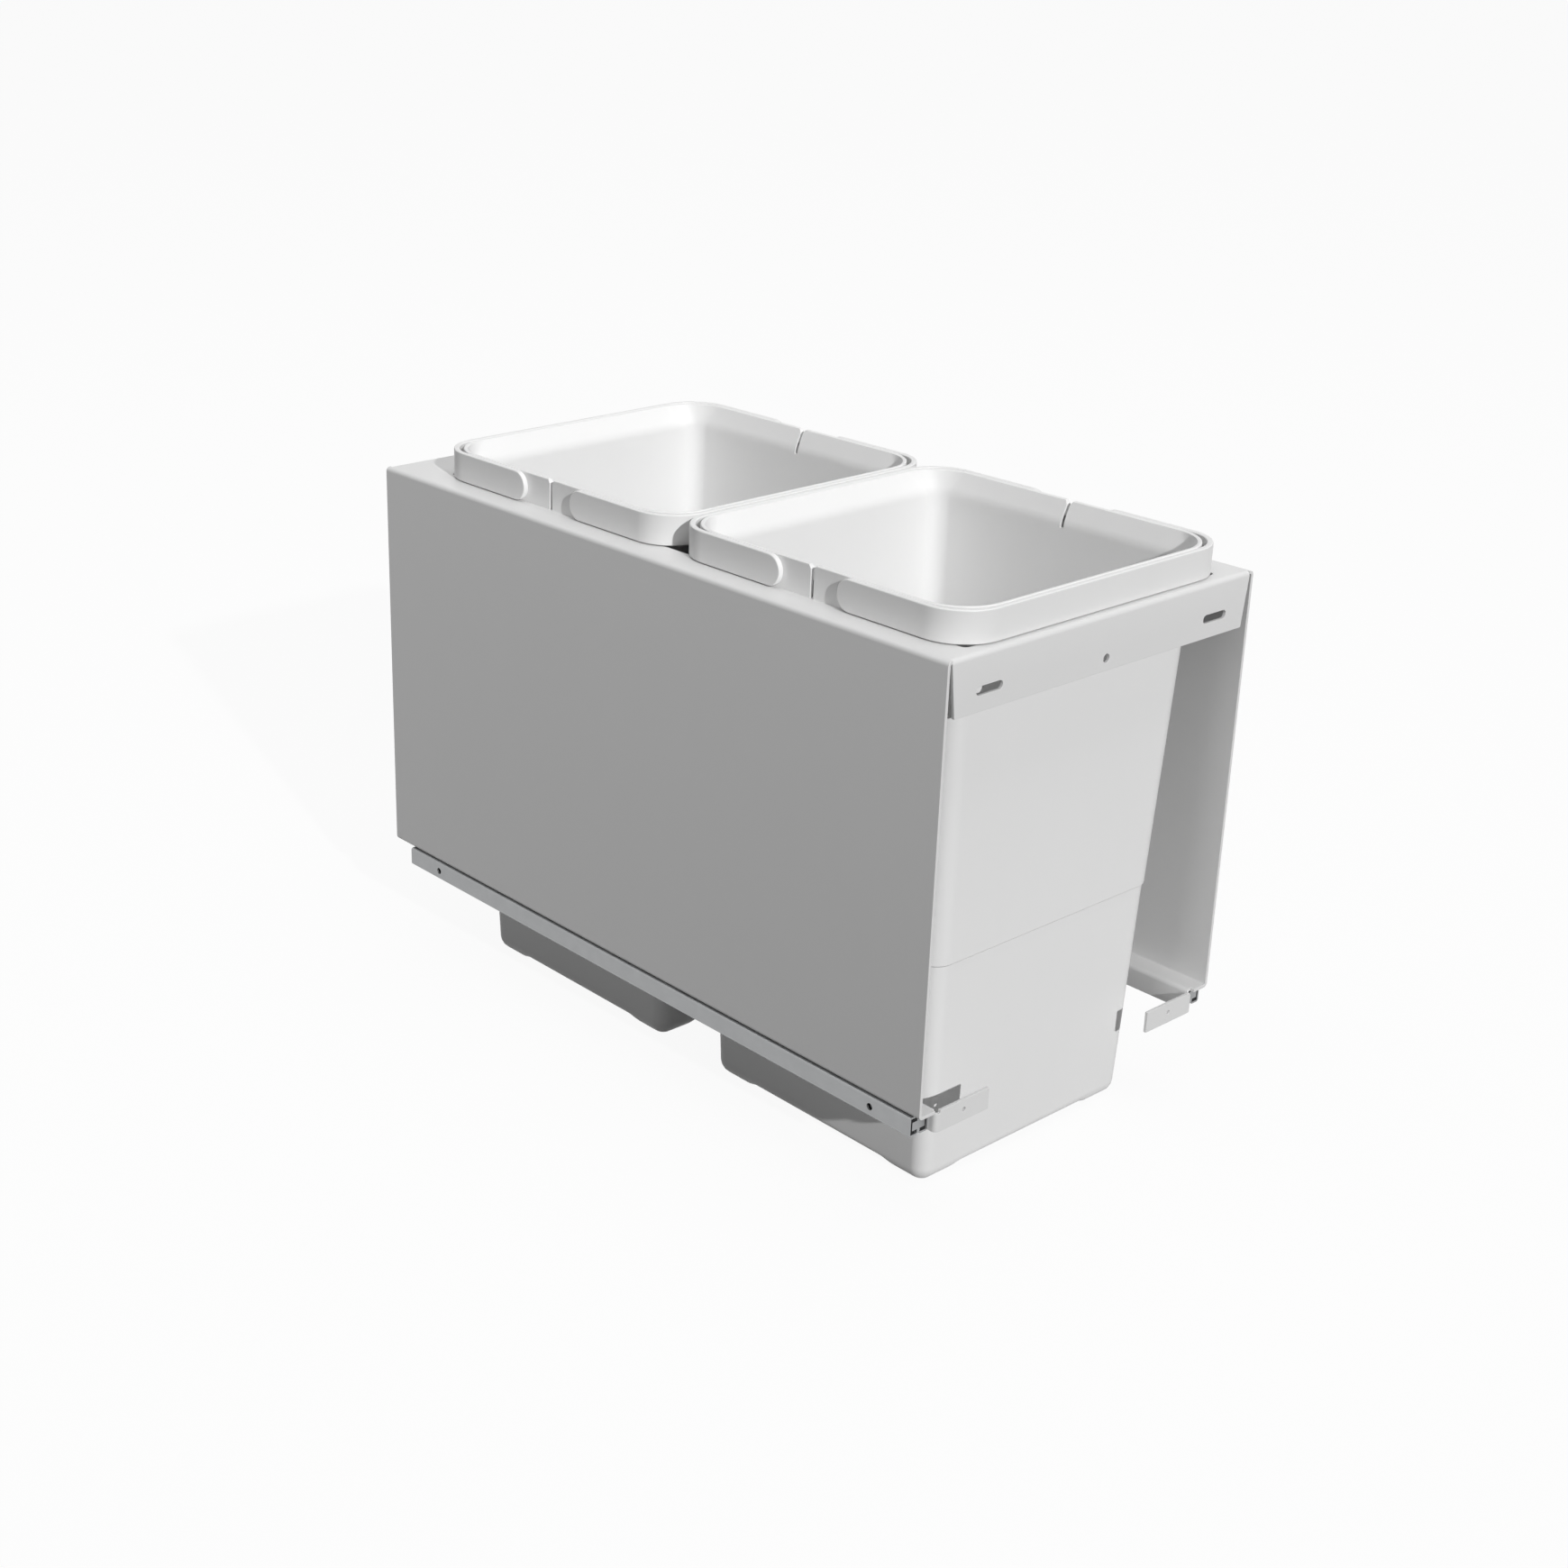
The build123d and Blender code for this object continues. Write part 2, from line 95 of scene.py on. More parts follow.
def rounded_loop(work, width, depth, corner, steps, centre):
    """A level loop of edges in the shape of a rounded rectangle."""
    plate = bmesh.ops.create_grid(work, x_segments=1, y_segments=1, size=0.5)
    bmesh.ops.scale(work, vec=(width, depth, 1), verts=plate["verts"])
    bmesh.ops.translate(work, vec=centre, verts=plate["verts"])
    rounded = bmesh.ops.bevel(
        work, geom=plate["verts"], offset=corner, offset_type="OFFSET", segments=steps,
        profile=0.5, affect="VERTICES", material=-1,
    )
    blank = rounded["verts"][0].link_faces[0]
    outline = list(blank.edges)
    bmesh.ops.delete(work, geom=[blank], context="FACES_ONLY")
    return outline


def punched_loop(work, radius, reach, facing, centre):
    """A loop for a round hole, or with some reach for a slot, turned to face along a matrix."""
    hole = bmesh.ops.create_circle(work, segments=hole_sides, radius=radius)["verts"]
    bmesh.ops.rotate(work, verts=hole, matrix=Matrix.Rotation(pi / hole_sides, 3, "Z"))
    for end in (-1, 1):
        half = [vertex for vertex in hole if vertex.co.x * end > 0]
        bmesh.ops.translate(work, vec=(end * reach / 2, 0, 0), verts=half)
    bmesh.ops.rotate(work, verts=hole, matrix=facing)
    bmesh.ops.translate(work, vec=centre, verts=hole)
    return list({edge for vertex in hole for edge in vertex.link_edges})


def fold(work, edges, centre, axis, angle, steps=bend_steps):
    """Bends the sheet on from some edges round an axis, and gives the edges it ends with."""
    bent = bmesh.ops.spin(
        work, geom=edges, cent=centre, axis=axis, dvec=(0, 0, 0), angle=angle, steps=steps,
        use_merge=False, use_duplicate=False,
    )
    return [item for item in bent["geom_last"] if isinstance(item, bmesh.types.BMEdge)]


def carry_on(work, edges, step):
    """Draws the sheet straight on from some edges, and gives the edges it ends with."""
    drawn = bmesh.ops.extrude_edge_only(work, edges=edges)["geom"]
    moved = {item for item in drawn if isinstance(item, bmesh.types.BMVert)}
    bmesh.ops.translate(work, vec=step, verts=list(moved))
    return [item for item in drawn
            if isinstance(item, bmesh.types.BMEdge) and moved.issuperset(item.verts)]


def close_flat(work, outline, holes):
    """Fills a flat outline and leaves its holes open."""
    bmesh.ops.triangle_fill(work, edges=outline + holes, use_beauty=True, use_dissolve=False)


def side_of(edges, axis, place):
    """Those of some edges that lie wholly at one place along an axis."""
    return [edge for edge in edges
            if all(abs(vertex.co[axis] - place) < near for vertex in edge.verts)]


def new_piece(work, name):
    """A finished mesh as an object in the scene, with smooth faces."""
    for face in work.faces:
        face.smooth = True
    mesh = bpy.data.meshes.new(name)
    work.to_mesh(mesh)
    work.free()
    piece = bpy.data.objects.new(name, mesh)
    bpy.context.scene.collection.objects.link(piece)
    return piece


def soften_edges(piece, width):
    """Rounds what is left sharp on a piece by a small radius, and keeps its flats flat."""
    rounding = piece.modifiers.new("rounding", "BEVEL")
    rounding.width = width
    rounding.segments = 2
    rounding.limit_method = "ANGLE"
    rounding.angle_limit = radians(40)
    rounding.harden_normals = True


flange_under = plate_top - panel_drop
lip_face = half_width - rebate_width
plate_half = half_width - bend
above_lips = flange_under - near
blank = bmesh.new()

# Top plate, with the opening for the bins.
plate = bmesh.ops.create_grid(blank, x_segments=1, y_segments=1, size=0.5)["verts"]
bmesh.ops.scale(blank, vec=(2 * end_flange_top_half, frame_depth - 2 * bend, 1), verts=plate)
bmesh.ops.translate(blank, vec=(0, frame_depth / 2, plate_top), verts=plate)
plate_outline = list(plate[0].link_faces[0].edges)
bmesh.ops.delete(blank, geom=list(plate[0].link_faces), context="FACES_ONLY")
cutout = rounded_loop(
    blank, 2 * cutout_half, cutout_rear - cutout_front, cutout_corner, cutout_corner_steps,
    (0, (cutout_front + cutout_rear) / 2, plate_top),
)
close_flat(blank, plate_outline, cutout)

# Side panels, bottom flanges and lips, fold by fold from the plate.
for side in (-1, 1):
    edge = side_of(plate_outline, 0, side * end_flange_top_half)
    edge = carry_on(blank, edge, (side * (plate_half - end_flange_top_half), 0, 0))
    edge = fold(blank, edge, (side * plate_half, 0, plate_top - bend), (0, 1, 0), side * pi / 2)
    edge = carry_on(blank, edge, (0, 0, flange_under - plate_top + 2 * bend))
    edge = fold(blank, edge, (side * plate_half, 0, flange_under + bend), (0, 1, 0), side * pi / 2)
    edge = carry_on(blank, edge, (side * (lip_face + tight_bend - plate_half), 0, 0))
    edge = fold(
        blank, edge, (side * (lip_face + tight_bend), 0, flange_under - tight_bend), (0, 1, 0),
        -side * pi / 2,
    )
    carry_on(blank, edge, (0, 0, lip_bottom - flange_under + tight_bend))

# The sides reach to both ends of the frame, the lips to just before the rear one.
for end, place in ((-1, bend), (1, frame_depth - bend)):
    open_edges = [edge for edge in blank.edges if edge.is_boundary]
    across = side_of(open_edges, 1, place)
    sides = [edge for edge in across
             if edge not in plate_outline
             and min(vertex.co.z for vertex in edge.verts) > above_lips]
    carry_on(blank, sides, (0, end * bend, 0))
    if end > 0:
        lips = [edge for edge in across if min(vertex.co.z for vertex in edge.verts) < above_lips]
        carry_on(blank, lips, (0, bend - lip_rear_rest, 0))

# Front tabs, bent inwards from the lips, each with a screw hole.
turned_to_front = Matrix.Rotation(pi / 2, 3, "X")
for side in (-1, 1):
    lip_edges = [edge for edge in blank.edges if edge.is_boundary]
    edge = side_of(side_of(lip_edges, 1, bend), 0, side * lip_face)
    edge = fold(blank, edge, (side * (lip_face - bend), bend, 0), (0, 0, 1), -side * pi / 2)
    edge = carry_on(blank, edge, (-side * tab_relief, 0, 0))
    tab_start = abs(edge[0].verts[0].co.x)
    edge = carry_on(blank, edge, (side * (tab_inner_half - tab_start), 0, 0))
    tab_face = edge[0].link_faces[0]
    raised = [corner for corner in tab_face.edges
              if all(vertex.co.z > lip_bottom + tab_height / 2 for vertex in corner.verts)]
    carry_on(blank, raised, (0, 0, lip_bottom + tab_height - flange_under + tight_bend))
    tab_outline = list(tab_face.edges)
    bmesh.ops.delete(blank, geom=[tab_face], context="FACES_ONLY")
    screw_hole = punched_loop(
        blank, tab_hole_radius, 0, turned_to_front,
        (side * tab_hole_half, 0, plate_top - tab_hole_drop),
    )
    close_flat(blank, tab_outline, screw_hole)

# Front and rear flanges. The front one has the two door slots and the hole between them.
for end, place in ((-1, bend), (1, frame_depth - bend)):
    edge = side_of(plate_outline, 1, place)
    edge = fold(blank, edge, (0, place, plate_top - bend), (1, 0, 0), -end * pi / 2)
    edge = carry_on(blank, edge, (0, 0, bend - end_flange_drop))
    narrowing = end_flange_bottom_half / end_flange_top_half
    bmesh.ops.scale(blank, vec=(narrowing, 1, 1), verts=loop_vertices(edge))
    if end < 0:
        flange_face = edge[0].link_faces[0]
        flange_outline = list(flange_face.edges)
        bmesh.ops.delete(blank, geom=[flange_face], context="FACES_ONLY")
        punched = punched_loop(
            blank, centre_hole_radius, 0, turned_to_front, (0, 0, plate_top - centre_hole_drop)
        )
        for side in (-1, 1):
            punched += punched_loop(
                blank, slot_width / 2, slot_length - slot_width, turned_to_front,
                (side * slot_spacing / 2, 0, 0),
            )
        close_flat(blank, flange_outline, punched)

bmesh.ops.remove_doubles(blank, verts=blank.verts, dist=near)
bmesh.ops.recalc_face_normals(blank, faces=blank.faces)
top_faces = [face for face in blank.faces if abs(face.calc_center_median().z - plate_top) < near]
if top_faces[0].normal.z < 0:
    bmesh.ops.reverse_faces(blank, faces=blank.faces)
folded_frame = new_piece(blank, "folded_frame")
gauge = folded_frame.modifiers.new("gauge", "SOLIDIFY")
gauge.thickness = sheet
gauge.offset = -1
gauge.use_even_offset = True
soften_edges(folded_frame, edge_rounding)


class Reading:
    """One output of a node, so that a finish can be worked out as a sum of such outputs."""

    def __init__(self, finish, socket):
        self.finish = finish
        self.socket = socket

    def maths(self, operation, first, second):
        return self.finish.node("ShaderNodeMath", {"operation": operation}, {0: first, 1: second})

    def beside(self, output):
        """Another output of the same node."""
        return Reading(self.finish, self.socket.node.outputs[output])

    def __add__(self, other):
        return self.maths("ADD", self, other)

    def __mul__(self, other):
        return self.maths("MULTIPLY", self, other)

    __radd__ = __add__
    __rmul__ = __mul__


class Finish:
    """The nodes of a material, or of the world around, under construction."""

    def __init__(self, owner):
        self.owner = owner
        owner.use_nodes = True
        self.tree = owner.node_tree
        self.tree.nodes.clear()

    def node(self, kind, settings, values, output=0):
        """Adds a node: first its settings, then the values or links of its sockets."""
        added = self.tree.nodes.new(kind)
        for setting, value in settings.items():
            setattr(added, setting, value)
        for socket, value in values.items():
            if isinstance(value, Reading):
                self.tree.links.new(value.socket, added.inputs[socket])
            else:
                added.inputs[socket].default_value = value
        return Reading(self, added.outputs[output])

    def grain(self, size, detail, roughness, stretch=(1, 1, 1)):
        """Noise from 0 to 1 whose lumps have a size in metres, drawn out along the axes."""
        place = self.node("ShaderNodeTexCoord", {}, {}, "Object")
        drawn = self.node(
            "ShaderNodeMapping", {"vector_type": "TEXTURE"},
            {"Vector": place, "Scale": tuple(size * part for part in stretch)},
        )
        return self.node(
            "ShaderNodeTexNoise", {"noise_dimensions": "3D"},
            {"Vector": drawn, "Scale": 1.0, "Detail": detail, "Roughness": roughness}, "Fac",
        )

    def mixed(self, share, first, second):
        """A colour between two, by a share from 0 to 1."""
        return self.node(
            "ShaderNodeMix", {"data_type": "RGBA", "clamp_factor": True},
            {0: share, 6: first, 7: second}, 2,
        )

    def relief(self, height, depth):
        """The surface's direction when a height from 0 to 1 stands for a depth in metres."""
        return self.node(
            "ShaderNodeBump", {}, {"Height": height, "Distance": depth, "Strength": 1.0}, "Normal"
        )

    def surface(self, shader, end_kind="ShaderNodeOutputMaterial"):
        """Ends the finish with a shader, and gives the material or the world that it is for."""
        end = self.tree.nodes.new(end_kind)
        self.tree.links.new(shader.socket, end.inputs["Surface"])
        return self.owner

    def close(self, **sockets):
        """Ends the finish with the usual shader. Its sockets are named with underscores."""
        values = {name.replace("_", " "): value for name, value in sockets.items()}
        return self.surface(self.node("ShaderNodeBsdfPrincipled", {}, values, "BSDF"))


# Powder coat: a thick, baked, slightly wavy skin that lets very little of the steel show.
powder = Finish(bpy.data.materials.new("white_powder_coat"))
waves = powder.grain(0.0022, 2.0, 0.5)
pores = powder.grain(0.0005, 1.0, 0.5)
clouds = powder.grain(0.060, 3.0, 0.5)
powder_coat = powder.close(
    Base_Color=powder.mixed(
        clouds * 0.7 + pores * 0.2, (0.755, 0.755, 0.753, 1), (0.785, 0.785, 0.784, 1)
    ),
    Roughness=waves * 0.10 + clouds * 0.06 + 0.36,
    Normal=powder.relief(waves * 0.8 + pores * 0.2, 0.00003),
    Coat_Weight=0.15,
    Coat_Roughness=0.25,
)
folded_frame.data.materials.append(powder_coat)
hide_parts("frame")
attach(folded_frame, "carriage")

# ---------------------------------------------------------------- bins
# Two bins moulded in white polypropylene. The rim hangs over as a skirt that rests on the plate,
# the walls taper to a base on four feet, and both long sides are split at the middle of the rim.
bin_names = ("bin_front", "bin_rear")
bin_front_centre = 0.1205
bin_pitch = 0.2324
rim_height = 0.0195
skirt_width = 0.2206
skirt_depth = 0.2230
skirt_wall = 0.0020
skirt_corner = 0.0300
rim_land = 0.0025
rim_edge = 0.0007
land_edge = 0.0004            # rounding between the land and the mouth
slant = 0.0001                # fall of the level faces, as they leave the mould
body_width = 0.2080
body_depth = 0.2060
width_taper = 0.076
depth_taper = 0.070
bin_wall = 0.0020
wall_corner = 0.0125
base_corner = 0.0095
bin_drop = 0.3435
step_drop = 0.1974
step_inset = 0.00103
step_slope = 0.0006           # half the height over which it slopes
floor_height = 0.0039         # over the feet
foot_height = 0.0017
foot_length = 0.0270
foot_blend = 0.0090
flare_height = 0.0165
flare_curve = 0.0065          # height over which it curves
channel_depth = 0.0100
slit_width = 0.0026
notch_width = 0.0060
notch_depth = 0.0025
stud_radius = 0.0040
stud_length = 0.0024
pivot_reach = 0.03185
hoop_lift = 0.0006            # of the hoops over the plate
hoop_height = 0.0189
pivot_level = plate_top + hoop_lift + hoop_height / 2
least_corner = 0.0008         # where a corner runs out in the base
corner_steps = 10
base_steps = 5
rim_steps = 3
flare_steps = 5
foot_steps = 4
stud_sides = 32
bin_sharp_from = radians(32)


def mouth_flare(height):
    """Share of the flare reached at a height: it curves out of the wall, then runs on straight."""
    curved = min(height, flare_curve)
    straight = height - curved
    slope = 1 / (flare_height - flare_curve / 2)
    return slope * (curved ** 2 / (2 * flare_curve) + straight)


def soft_step(share):
    """A step from 0 to 1 that starts and ends level."""
    share = min(max(share, 0), 1)
    return share * share * (3 - 2 * share)


def cut_away(piece, tool):
    """Takes the tool's shape out of a piece. The tool is thrown away."""
    cut = piece.modifiers.new("cut", "BOOLEAN")
    cut.operation = "DIFFERENCE"
    cut.solver = "EXACT"
    cut.object = tool
    whole = piece.data
    piece.data = bpy.data.meshes.new_from_object(
        piece.evaluated_get(bpy.context.evaluated_depsgraph_get())
    )
    piece.data.name = whole.name
    piece.modifiers.clear()
    bpy.data.meshes.remove(whole)
    bpy.data.objects.remove(tool)


def bar_tool(place, reach, height, width_low, width_high):
    """A bar across a bin's side, with a trapezoid section that stands on a place."""
    work = bmesh.new()
    corners = bmesh.ops.create_cube(work, size=1.0)["verts"]
    upper = [corner for corner in corners if corner.co.z > 0]
    bmesh.ops.translate(work, vec=(0, 0, 0.5), verts=corners)
    bmesh.ops.scale(work, vec=(reach, width_low, height), verts=corners)
    bmesh.ops.scale(work, vec=(1, width_high / width_low, 1), verts=upper)
    bmesh.ops.translate(work, vec=place, verts=corners)
    return new_piece(work, "bar_tool")


def mould_bin(name, centre):
    """One bin as a closed shell, drawn ring by ring from its base up, over the rim and down inside."""
    work = bmesh.new()
    rings = []

    def add_ring(width, depth, corner, level):
        rings.append(rounded_loop(work, width, depth, corner, corner_steps, (0, 0, level)))

    def wall_ring(drop, inset, corner):
        add_ring(
            body_width - width_taper * drop - 2 * inset, body_depth - depth_taper * drop - 2 * inset,
            corner, plate_top - drop,
        )

    for step in range(base_steps + 1):
        turn = step / base_steps * pi / 2
        taken_in = base_corner * (1 - sin(turn))
        wall_ring(
            bin_drop - base_corner * (1 - cos(turn)), step_inset + taken_in,
            max(base_corner - taken_in, least_corner),
        )
    wall_ring(step_drop + step_slope, step_inset, wall_corner - step_inset)
    wall_ring(step_drop - step_slope, 0, wall_corner)
    wall_ring(0.0, 0, wall_corner)
    channel_level = plate_top + channel_depth
    add_ring(body_width + bin_wall, body_depth + bin_wall, wall_corner + bin_wall, channel_level)
    skirt_inner = skirt_corner - skirt_wall
    add_ring(
        skirt_width - 2 * skirt_wall, skirt_depth - 2 * skirt_wall, skirt_inner,
        channel_level - slant,
    )
    add_ring(
        skirt_width - 2 * skirt_wall, skirt_depth - 2 * skirt_wall, skirt_inner,
        plate_top + slant,
    )
    add_ring(skirt_width, skirt_depth, skirt_corner, plate_top)
    rim_level = plate_top + rim_height
    for step in range(rim_steps + 1):
        turn = step / rim_steps * pi / 2
        taken_in = rim_edge * (1 - cos(turn))
        add_ring(
            skirt_width - 2 * taken_in, skirt_depth - 2 * taken_in, skirt_corner - taken_in,
            rim_level - rim_edge * (1 - sin(turn)),
        )
    mouth_width = skirt_width - 2 * rim_land
    mouth_depth = skirt_depth - 2 * rim_land
    mouth_corner = skirt_corner - rim_land
    add_ring(
        mouth_width + 2 * land_edge, mouth_depth + 2 * land_edge, mouth_corner + land_edge,
        rim_level - slant,
    )
    neck_width = body_width - 2 * bin_wall
    neck_depth = body_depth - 2 * bin_wall
    neck_corner = wall_corner - bin_wall
    flare_start = rim_level - flare_height
    heights = [flare_height - land_edge]
    heights += [flare_curve * (1 - step / flare_steps) for step in range(flare_steps + 1)]
    for height in heights:
        share = mouth_flare(height)
        add_ring(
            neck_width + share * (mouth_width - neck_width),
            neck_depth + share * (mouth_depth - neck_depth),
            neck_corner + share * (mouth_corner - neck_corner), flare_start + height,
        )
    inner_corner = base_corner - bin_wall
    wall_ring(step_drop - bin_wall - step_slope, bin_wall, neck_corner)
    wall_ring(step_drop - bin_wall + step_slope, bin_wall + step_inset, neck_corner - step_inset)
    for step in range(base_steps, -1, -1):
        turn = step / base_steps * pi / 2
        taken_in = inner_corner * (1 - sin(turn))
        wall_ring(
            bin_drop - floor_height - inner_corner * (1 - cos(turn)),
            bin_wall + step_inset + taken_in, max(inner_corner - taken_in, least_corner),
        )
    for lower, upper in zip(rings, rings[1:]):
        bmesh.ops.bridge_loops(work, edges=lower + upper)
    for closed in (rings[0], rings[-1]):
        bmesh.ops.contextual_create(work, geom=closed)

    # The base is scored where the feet run out, and what lies between the feet is raised.
    base_level = plate_top - bin_drop
    half_base_width = (body_width - width_taper * bin_drop) / 2 - step_inset
    half_base_depth = (body_depth - depth_taper * bin_drop) / 2 - step_inset
    reaches = (half_base_width - foot_length, half_base_depth - foot_length)
    for axis, reach in enumerate(reaches):
        direction = (1, 0, 0) if axis == 0 else (0, 1, 0)
        for side in (-1, 1):
            for score in range(foot_steps + 1):
                low = [vertex for vertex in work.verts if vertex.co.z < base_level + base_corner]
                low += [item for group in (work.edges, work.faces) for item in group
                        if max(vertex.co.z for vertex in item.verts) < base_level + base_corner]
                place = side * (reach - foot_blend * score / foot_steps)
                spot = (place, 0, 0) if axis == 0 else (0, place, 0)
                bmesh.ops.bisect_plane(work, geom=low, plane_co=spot, plane_no=direction, dist=near)
    for vertex in work.verts:
        height = vertex.co.z - base_level
        if height < base_corner and abs(vertex.co.z - base_level - floor_height) > near:
            foot_x = soft_step((abs(vertex.co.x) - reaches[0] + foot_blend) / foot_blend)
            foot_y = soft_step((abs(vertex.co.y) - reaches[1] + foot_blend) / foot_blend)
            vertex.co.z += foot_height * (1 - foot_x * foot_y) * (1 - soft_step(height / base_corner))

    bmesh.ops.recalc_face_normals(work, faces=work.faces)
    bmesh.ops.translate(work, vec=(0, centre, 0), verts=work.verts)
    shell = new_piece(work, name + "_shell")

    # Both long sides are split, with a wider notch at the top. Only the skirt is split lower down.
    whole_reach = 2 * skirt_width
    cut_away(shell, bar_tool(
        (0, centre, flare_start), whole_reach, flare_height * 2, slit_width, slit_width
    ))
    cut_away(shell, bar_tool(
        (0, centre, rim_level - notch_depth), whole_reach, notch_depth * 2, slit_width,
        2 * notch_width - slit_width,
    ))
    for side in (-1, 1):
        cut_away(shell, bar_tool(
            (side * skirt_width / 2, centre, plate_top - channel_depth), 3 * skirt_wall,
            flare_start - plate_top + channel_depth + notch_depth, slit_width, slit_width,
        ))

    # Pivot studs on the skirt, for the hoops.
    work = bmesh.new()
    work.from_mesh(shell.data)
    for side in (-1, 1):
        for facing in (-1, 1):
            bmesh.ops.create_cone(
                work, cap_ends=True, segments=stud_sides, radius1=stud_radius, radius2=stud_radius,
                depth=stud_length + skirt_wall / 2,
                matrix=Matrix.Translation((
                    side * (skirt_width / 2 + (stud_length - skirt_wall / 2) / 2),
                    centre + facing * pivot_reach, pivot_level,
                )) @ Matrix.Rotation(pi / 2, 4, "Y"),
            )
    work.to_mesh(shell.data)
    work.free()
    return shell


# Moulded polypropylene: matt, with the fine even grain of a spark-eroded mould.
moulding = Finish(bpy.data.materials.new("white_bin_plastic"))
spark = moulding.grain(0.00045, 2.0, 0.6)
flow = moulding.grain(0.045, 3.0, 0.55, (1, 1, 2.5))
bin_plastic = moulding.close(
    Base_Color=moulding.mixed(
        flow * 0.7 + spark * 0.3, (0.865, 0.865, 0.863, 1), (0.895, 0.895, 0.893, 1)
    ),
    Roughness=spark * 0.12 + flow * 0.06 + 0.42,
    Normal=moulding.relief(spark, 0.00002),
)
for row, name in enumerate(bin_names):
    shell = mould_bin(name, bin_front_centre + row * bin_pitch)
    shell.data.materials.clear()
    shell.data.materials.append(bin_plastic)
    shell.data.set_sharp_from_angle(angle=bin_sharp_from)
    flat = shell.modifiers.new("flat", "WEIGHTED_NORMAL")
    flat.keep_sharp = True
    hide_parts(name)
    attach(shell, name)

# ---------------------------------------------------------------- hoop handles
# Four flat hoops moulded in white plastic, two on each bin. Each lies round one end of the skirt
# and swings up about two studs, which its half round ends take in blind sockets.
hoop_width = 0.2284
hoop_reach = 0.1155
hoop_thickness = 0.0037
hoop_corner = 0.0280
hoop_edge = 0.0008
socket_radius = stud_radius + 0.00005
socket_depth = 0.0025
hoop_edge_steps = 3
hoop_turn_steps = 14
hoop_end_steps = 20
socket_sides = 48
hoop_sharp_from = radians(40)


def mould_hoop(name, centre, facing):
    """One hoop, swept from its section. facing is -1 at the front end of a bin and 1 at the rear."""
    work = bmesh.new()
    arm = hoop_width / 2
    pivot = centre + facing * pivot_reach
    turn_level = centre + facing * (hoop_reach - hoop_corner)
    section = rounded_loop(work, hoop_thickness, hoop_height, hoop_edge, hoop_edge_steps, (0, 0, 0))
    corners = loop_vertices(section)
    bmesh.ops.rotate(work, verts=corners, matrix=Matrix.Rotation(pi / 2, 3, "X"))
    bmesh.ops.translate(work, vec=(-arm + hoop_thickness / 2, pivot, pivot_level), verts=corners)
    upright = [edge for edge in section if edge.calc_length() > hoop_height / 2]
    bmesh.ops.subdivide_edges(work, edges=upright, cuts=1)
    section = list(work.edges)
    quarter = -facing * pi / 2
    edges = carry_on(work, section, (0, turn_level - pivot, 0))
    edges = fold(
        work, edges, (-arm + hoop_corner, turn_level, 0), (0, 0, 1), quarter, hoop_turn_steps
    )
    edges = carry_on(work, edges, (2 * (arm - hoop_corner), 0, 0))
    edges = fold(
        work, edges, (arm - hoop_corner, turn_level, 0), (0, 0, 1), quarter, hoop_turn_steps
    )
    edges = carry_on(work, edges, (0, pivot - turn_level, 0))
    for start in (section, edges):
        upper_half = [edge for edge in start
                      if min(vertex.co.z for vertex in edge.verts) > pivot_level - near]
        fold(work, upper_half, (0, pivot, pivot_level), (1, 0, 0), facing * pi, hoop_end_steps)
    bmesh.ops.remove_doubles(work, verts=work.verts, dist=near)
    bmesh.ops.recalc_face_normals(work, faces=work.faces)
    hoop = new_piece(work, name + "_hoop")
    for side in (-1, 1):
        tool = bmesh.new()
        bmesh.ops.create_cone(
            tool, cap_ends=True, segments=socket_sides, radius1=socket_radius, radius2=socket_radius,
            depth=2 * socket_depth,
            matrix=Matrix.Translation((side * (arm - hoop_thickness), pivot, pivot_level))
            @ Matrix.Rotation(pi / 2, 4, "Y") @ Matrix.Rotation(pi / socket_sides, 4, "Z"),
        )
        cut_away(hoop, new_piece(tool, "socket_tool"))
    return hoop


# The hoops' plastic is a little smoother than the bins'.
satin = Finish(bpy.data.materials.new("white_handle_plastic"))
ripple = satin.grain(0.0009, 2.0, 0.5)
sheen = satin.grain(0.030, 2.0, 0.5)
handle_plastic = satin.close(
    Base_Color=satin.mixed(sheen, (0.835, 0.835, 0.832, 1), (0.865, 0.865, 0.862, 1)),
    Roughness=ripple * 0.08 + sheen * 0.06 + 0.34,
    Normal=satin.relief(ripple, 0.000015),
)
for row, bin_name in enumerate(bin_names):
    for facing, end in ((-1, "front"), (1, "rear")):
        name = bin_name + "_handle_" + end
        hoop = mould_hoop(name, bin_front_centre + row * bin_pitch, facing)
        hoop.data.materials.clear()
        hoop.data.materials.append(handle_plastic)
        hoop.data.set_sharp_from_angle(angle=hoop_sharp_from)
        flat = hoop.modifiers.new("flat", "WEIGHTED_NORMAL")
        flat.keep_sharp = True
        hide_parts(name)
        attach(hoop, name)

# ---------------------------------------------------------------- runners
# Roll-formed steel channels, zinc plated, with a middle member on caged rollers of hard steel
# and a rubber stop at the rear. They lie in the frame's rebates and keep their solids' shape.
zinc = Finish(bpy.data.materials.new("zinc_plated_steel"))
rolling = zinc.grain(0.0006, 3.0, 0.6, (1, 60, 1))
spangle = zinc.grain(0.008, 2.0, 0.5)
zinc_plate_darkened_as_shade = zinc.close(
    # Its colour is darker than plated zinc: partly the grey of dull zinc, partly painted shade, so
    # that the runner under the panel's lower edge comes out as dark as the shade there.
    Base_Color=zinc.mixed(
        spangle * 0.6 + rolling * 0.4, (0.30, 0.305, 0.31, 1), (0.40, 0.405, 0.41, 1)
    ),
    Metallic=1.0,
    Roughness=rolling * 0.16 + spangle * 0.10 + 0.36,
    Normal=zinc.relief(rolling, 0.00001),
)
ground = Finish(bpy.data.materials.new("bearing_steel"))
lapping = ground.grain(0.0003, 2.0, 0.5, (8, 1, 1))
